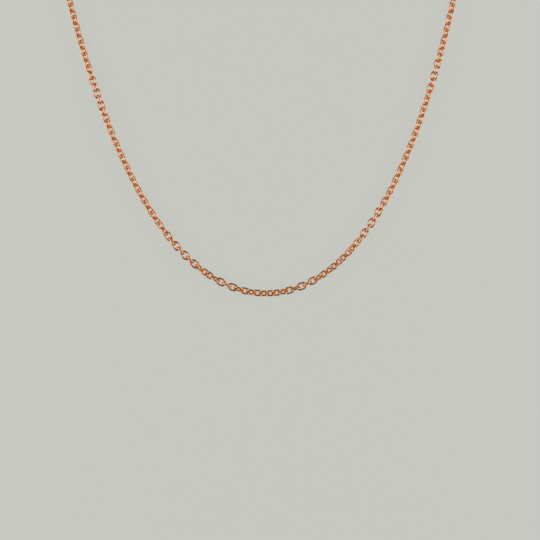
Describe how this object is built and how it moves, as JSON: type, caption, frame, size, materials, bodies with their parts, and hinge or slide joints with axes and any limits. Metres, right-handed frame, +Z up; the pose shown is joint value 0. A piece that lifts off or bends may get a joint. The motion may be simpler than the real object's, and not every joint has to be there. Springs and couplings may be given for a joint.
{
  "type": "chain necklace",
  "caption": "Fine cable-chain necklace in rose-gold plated brass, lying unfastened in an open U, with a lobster clasp at one end and a closed ring at the other.",
  "frame": {"origin": "middle of the whole laid-out necklace, on the table it lies on", "axes": "+Z up off the table, +Y from the bottom of the U towards its two ends, +X to the side with the closed ring"},
  "size_m": [0.1404, 0.2089, 0.0021],
  "materials": {
    "chain_rose_gold": "polished",
    "findings_rose_gold": "polished",
    "spring_steel": "satin"
  },
  "bodies": {
    "chain_middle": {"chain_middle": "chain_rose_gold"},
    "chain_right_01": {"chain_right_01": "chain_rose_gold"},
    "chain_right_02": {"chain_right_02": "chain_rose_gold"},
    "chain_right_03": {"chain_right_03": "chain_rose_gold"},
    "chain_right_04": {"chain_right_04": "chain_rose_gold"},
    "chain_right_05": {"chain_right_05": "chain_rose_gold"},
    "chain_right_06": {"chain_right_06": "chain_rose_gold"},
    "chain_right_07": {"chain_right_07": "chain_rose_gold"},
    "chain_right_08": {"chain_right_08": "chain_rose_gold"},
    "chain_right_09": {"chain_right_09": "chain_rose_gold"},
    "chain_right_10": {"chain_right_10": "chain_rose_gold"},
    "chain_right_11": {"chain_right_11": "chain_rose_gold"},
    "chain_right_12": {"chain_right_12": "chain_rose_gold"},
    "chain_right_13": {"chain_right_13": "chain_rose_gold"},
    "chain_right_14": {"chain_right_14": "chain_rose_gold"},
    "chain_right_15": {"chain_right_15": "chain_rose_gold"},
    "chain_right_16": {"chain_right_16": "chain_rose_gold"},
    "chain_right_17": {"chain_right_17": "chain_rose_gold"},
    "chain_right_18": {"chain_right_18": "chain_rose_gold"},
    "chain_right_19": {"chain_right_19": "chain_rose_gold"},
    "chain_left_01": {"chain_left_01": "chain_rose_gold"},
    "chain_left_02": {"chain_left_02": "chain_rose_gold"},
    "chain_left_03": {"chain_left_03": "chain_rose_gold"},
    "chain_left_04": {"chain_left_04": "chain_rose_gold"},
    "chain_left_05": {"chain_left_05": "chain_rose_gold"},
    "chain_left_06": {"chain_left_06": "chain_rose_gold"},
    "chain_left_07": {"chain_left_07": "chain_rose_gold"},
    "chain_left_08": {"chain_left_08": "chain_rose_gold"},
    "chain_left_09": {"chain_left_09": "chain_rose_gold"},
    "chain_left_10": {"chain_left_10": "chain_rose_gold"},
    "chain_left_11": {"chain_left_11": "chain_rose_gold"},
    "chain_left_12": {"chain_left_12": "chain_rose_gold"},
    "chain_left_13": {"chain_left_13": "chain_rose_gold"},
    "chain_left_14": {"chain_left_14": "chain_rose_gold"},
    "chain_left_15": {"chain_left_15": "chain_rose_gold"},
    "chain_left_16": {"chain_left_16": "chain_rose_gold"},
    "chain_left_17": {"chain_left_17": "chain_rose_gold"},
    "chain_left_18": {"chain_left_18": "chain_rose_gold"},
    "chain_left_19": {"chain_left_19": "chain_rose_gold"},
    "jump_ring": {"jump_ring": "findings_rose_gold"},
    "clasp": {"clasp_body": "findings_rose_gold", "clasp_pin": "findings_rose_gold", "clasp_spring": "spring_steel"},
    "lever": {"clasp_lever": "findings_rose_gold"},
    "end_ring": {"end_ring": "findings_rose_gold"}
  },
  "joints": [
    {"name": "bend_right_01", "type": "hinge", "parent": "chain_middle", "child": "chain_right_01", "pos_m": [0.00685, -0.10266, 0.00098], "axis": [0.2146, -0.8818, -0.42], "range_deg": [-75, 75]},
    {"name": "bend_right_02", "type": "hinge", "parent": "chain_right_01", "child": "chain_right_02", "pos_m": [0.01668, -0.09743, 0.00086], "axis": [0.3902, -0.5281, -0.7543], "range_deg": [-75, 75]},
    {"name": "bend_right_03", "type": "hinge", "parent": "chain_right_02", "child": "chain_right_03", "pos_m": [0.02448, -0.08943, 0.00099], "axis": [-0.2986, 0.2419, -0.9232], "range_deg": [-75, 75]},
    {"name": "bend_right_04", "type": "hinge", "parent": "chain_right_03", "child": "chain_right_04", "pos_m": [0.03063, -0.08007, 0.0009], "axis": [-0.7003, 0.4048, -0.588], "range_deg": [-75, 75]},
    {"name": "bend_right_05", "type": "hinge", "parent": "chain_right_04", "child": "chain_right_05", "pos_m": [0.0356, -0.07004, 0.00082], "axis": [-0.645, 0.2898, 0.7071], "range_deg": [-75, 75]},
    {"name": "bend_right_06", "type": "hinge", "parent": "chain_right_05", "child": "chain_right_06", "pos_m": [0.03973, -0.05964, 0.00082], "axis": [0.6637, -0.2439, 0.7071], "range_deg": [-75, 75]},
    {"name": "bend_right_07", "type": "hinge", "parent": "chain_right_06", "child": "chain_right_07", "pos_m": [0.04326, -0.04901, 0.00105], "axis": [0.9549, -0.2968, 0.0116], "range_deg": [-75, 75]},
    {"name": "bend_right_08", "type": "hinge", "parent": "chain_right_07", "child": "chain_right_08", "pos_m": [0.04633, -0.03824, 0.00082], "axis": [0.681, -0.1834, -0.709], "range_deg": [-75, 75]},
    {"name": "bend_right_09", "type": "hinge", "parent": "chain_right_08", "child": "chain_right_09", "pos_m": [0.04905, -0.02737, 0.0009], "axis": [-0.5782, 0.1374, -0.8043], "range_deg": [-75, 75]},
    {"name": "bend_right_10", "type": "hinge", "parent": "chain_right_09", "child": "chain_right_10", "pos_m": [0.05147, -0.01644, 0.00096], "axis": [-0.8649, 0.1839, 0.4671], "range_deg": [-75, 75]},
    {"name": "bend_right_11", "type": "hinge", "parent": "chain_right_10", "child": "chain_right_11", "pos_m": [0.05367, -0.00546, 0.00103], "axis": [0.2084, -0.0401, 0.9772], "range_deg": [-75, 75]},
    {"name": "bend_right_12", "type": "hinge", "parent": "chain_right_11", "child": "chain_right_12", "pos_m": [0.05568, 0.00556, 0.00104], "axis": [0.978, -0.1717, 0.1182], "range_deg": [-75, 75]},
    {"name": "bend_right_13", "type": "hinge", "parent": "chain_right_12", "child": "chain_right_13", "pos_m": [0.05752, 0.01661, 0.00097], "axis": [0.4301, -0.0695, -0.9001], "range_deg": [-75, 75]},
    {"name": "bend_right_14", "type": "hinge", "parent": "chain_right_13", "child": "chain_right_14", "pos_m": [0.05923, 0.02768, 0.00082], "axis": [-0.7009, 0.1048, -0.7055], "range_deg": [-75, 75]},
    {"name": "bend_right_15", "type": "hinge", "parent": "chain_right_14", "child": "chain_right_15", "pos_m": [0.06082, 0.03877, 0.00095], "axis": [-0.8675, 0.1208, 0.4825], "range_deg": [-75, 75]},
    {"name": "bend_right_16", "type": "hinge", "parent": "chain_right_15", "child": "chain_right_16", "pos_m": [0.06231, 0.04987, 0.00099], "axis": [0.3914, -0.051, 0.9188], "range_deg": [-75, 75]},
    {"name": "bend_right_17", "type": "hinge", "parent": "chain_right_16", "child": "chain_right_17", "pos_m": [0.0637, 0.06098, 0.00101], "axis": [0.9459, -0.1157, -0.3032], "range_deg": [-75, 75]},
    {"name": "bend_right_18", "type": "hinge", "parent": "chain_right_17", "child": "chain_right_18", "pos_m": [0.06501, 0.0721, 0.00103], "axis": [-0.2074, 0.0239, -0.978], "range_deg": [-75, 75]},
    {"name": "bend_right_19", "type": "hinge", "parent": "chain_right_18", "child": "chain_right_19", "pos_m": [0.06626, 0.08323, 0.00104], "axis": [-0.9878, 0.1078, 0.1123], "range_deg": [-75, 75]},
    {"name": "bend_left_01", "type": "hinge", "parent": "chain_middle", "child": "chain_left_01", "pos_m": [-0.00481, -0.10302, 0.00089], "axis": [-0.1063, -0.5857, -0.8035], "range_deg": [-75, 75]},
    {"name": "bend_left_02", "type": "hinge", "parent": "chain_left_01", "child": "chain_left_02", "pos_m": [-0.01488, -0.09828, 0.0009], "axis": [0.4516, 0.667, 0.5926], "range_deg": [-75, 75]},
    {"name": "bend_left_03", "type": "hinge", "parent": "chain_left_02", "child": "chain_left_03", "pos_m": [-0.02293, -0.09052, 0.00105], "axis": [-0.7603, -0.6484, -0.0393], "range_deg": [-75, 75]},
    {"name": "bend_left_04", "type": "hinge", "parent": "chain_left_03", "child": "chain_left_04", "pos_m": [-0.02925, -0.08129, 0.00082], "axis": [0.6025, 0.3612, -0.7117], "range_deg": [-75, 75]},
    {"name": "bend_left_05", "type": "hinge", "parent": "chain_left_04", "child": "chain_left_05", "pos_m": [-0.03435, -0.07132, 0.00082], "axis": [0.6419, 0.2967, 0.7071], "range_deg": [-75, 75]},
    {"name": "bend_left_06", "type": "hinge", "parent": "chain_left_05", "child": "chain_left_06", "pos_m": [-0.03857, -0.06095, 0.00086], "axis": [-0.71, -0.267, 0.6516], "range_deg": [-75, 75]},
    {"name": "bend_left_07", "type": "hinge", "parent": "chain_left_06", "child": "chain_left_07", "pos_m": [-0.04217, -0.05034, 0.00105], "axis": [0.0967, 0.0307, -0.9948], "range_deg": [-75, 75]},
    {"name": "bend_left_08", "type": "hinge", "parent": "chain_left_07", "child": "chain_left_08", "pos_m": [-0.04529, -0.03959, 0.00084], "axis": [0.707, 0.1937, 0.6802], "range_deg": [-75, 75]},
    {"name": "bend_left_09", "type": "hinge", "parent": "chain_left_08", "child": "chain_left_09", "pos_m": [-0.04804, -0.02873, 0.00085], "axis": [-0.7291, -0.1759, 0.6614], "range_deg": [-75, 75]},
    {"name": "bend_left_10", "type": "hinge", "parent": "chain_left_09", "child": "chain_left_10", "pos_m": [-0.0505, -0.01781, 0.0009], "axis": [-0.579, -0.1247, -0.8057], "range_deg": [-75, 75]},
    {"name": "bend_left_11", "type": "hinge", "parent": "chain_left_10", "child": "chain_left_11", "pos_m": [-0.05273, -0.00683, 0.00094], "axis": [0.8461, 0.1647, -0.507], "range_deg": [-75, 75]},
    {"name": "bend_left_12", "type": "hinge", "parent": "chain_left_11", "child": "chain_left_12", "pos_m": [-0.05476, 0.00418, 0.00098], "axis": [0.3999, 0.071, 0.9138], "range_deg": [-75, 75]},
    {"name": "bend_left_13", "type": "hinge", "parent": "chain_left_12", "child": "chain_left_13", "pos_m": [-0.05662, 0.01523, 0.00101], "axis": [-0.9414, -0.1536, 0.3002], "range_deg": [-75, 75]},
    {"name": "bend_left_14", "type": "hinge", "parent": "chain_left_13", "child": "chain_left_14", "pos_m": [-0.05834, 0.02629, 0.00104], "axis": [-0.1882, -0.0284, -0.9817], "range_deg": [-75, 75]},
    {"name": "bend_left_15", "type": "hinge", "parent": "chain_left_14", "child": "chain_left_15", "pos_m": [-0.05995, 0.03738, 0.00105], "axis": [0.9866, 0.1386, -0.0859], "range_deg": [-75, 75]},
    {"name": "bend_left_16", "type": "hinge", "parent": "chain_left_15", "child": "chain_left_16", "pos_m": [-0.06144, 0.04848, 0.00105], "axis": [0.069, 0.0091, 0.9976], "range_deg": [-75, 75]},
    {"name": "bend_left_17", "type": "hinge", "parent": "chain_left_16", "child": "chain_left_17", "pos_m": [-0.06285, 0.05959, 0.00105], "axis": [-0.9911, -0.1222, 0.0534], "range_deg": [-75, 75]},
    {"name": "bend_left_18", "type": "hinge", "parent": "chain_left_17", "child": "chain_left_18", "pos_m": [-0.06417, 0.07071, 0.00105], "axis": [-0.0368, -0.0043, -0.9993], "range_deg": [-75, 75]},
    {"name": "bend_left_19", "type": "hinge", "parent": "chain_left_18", "child": "chain_left_19", "pos_m": [-0.06542, 0.08184, 0.00105], "axis": [0.9938, 0.1092, -0.0208], "range_deg": [-75, 75]},
    {"name": "jump_ring_swing", "type": "hinge", "parent": "chain_left_19", "child": "jump_ring", "pos_m": [-0.06661, 0.09298, 0.00105], "axis": [0, 0, 1], "range_deg": [-55, 55]},
    {"name": "clasp_swing", "type": "hinge", "parent": "jump_ring", "child": "clasp", "pos_m": [-0.06688, 0.09554, 0.00105], "axis": [0.9946, 0.1036, 0], "range_deg": [-80, 80]},
    {"name": "lever_opens", "type": "hinge", "parent": "clasp", "child": "lever", "pos_m": [-0.06637, 0.09886, 0.00105], "axis": [0, 0, 1], "range_deg": [0, 28], "stiffness_Nm_per_rad": 0.003, "springref_deg": -11.46, "deforming": ["clasp_spring"]},
    {"name": "end_ring_swing", "type": "hinge", "parent": "chain_right_19", "child": "end_ring", "pos_m": [0.06743, 0.09437, 0.00105], "axis": [0, 0, 1], "range_deg": [-36, 36]}
  ]
}
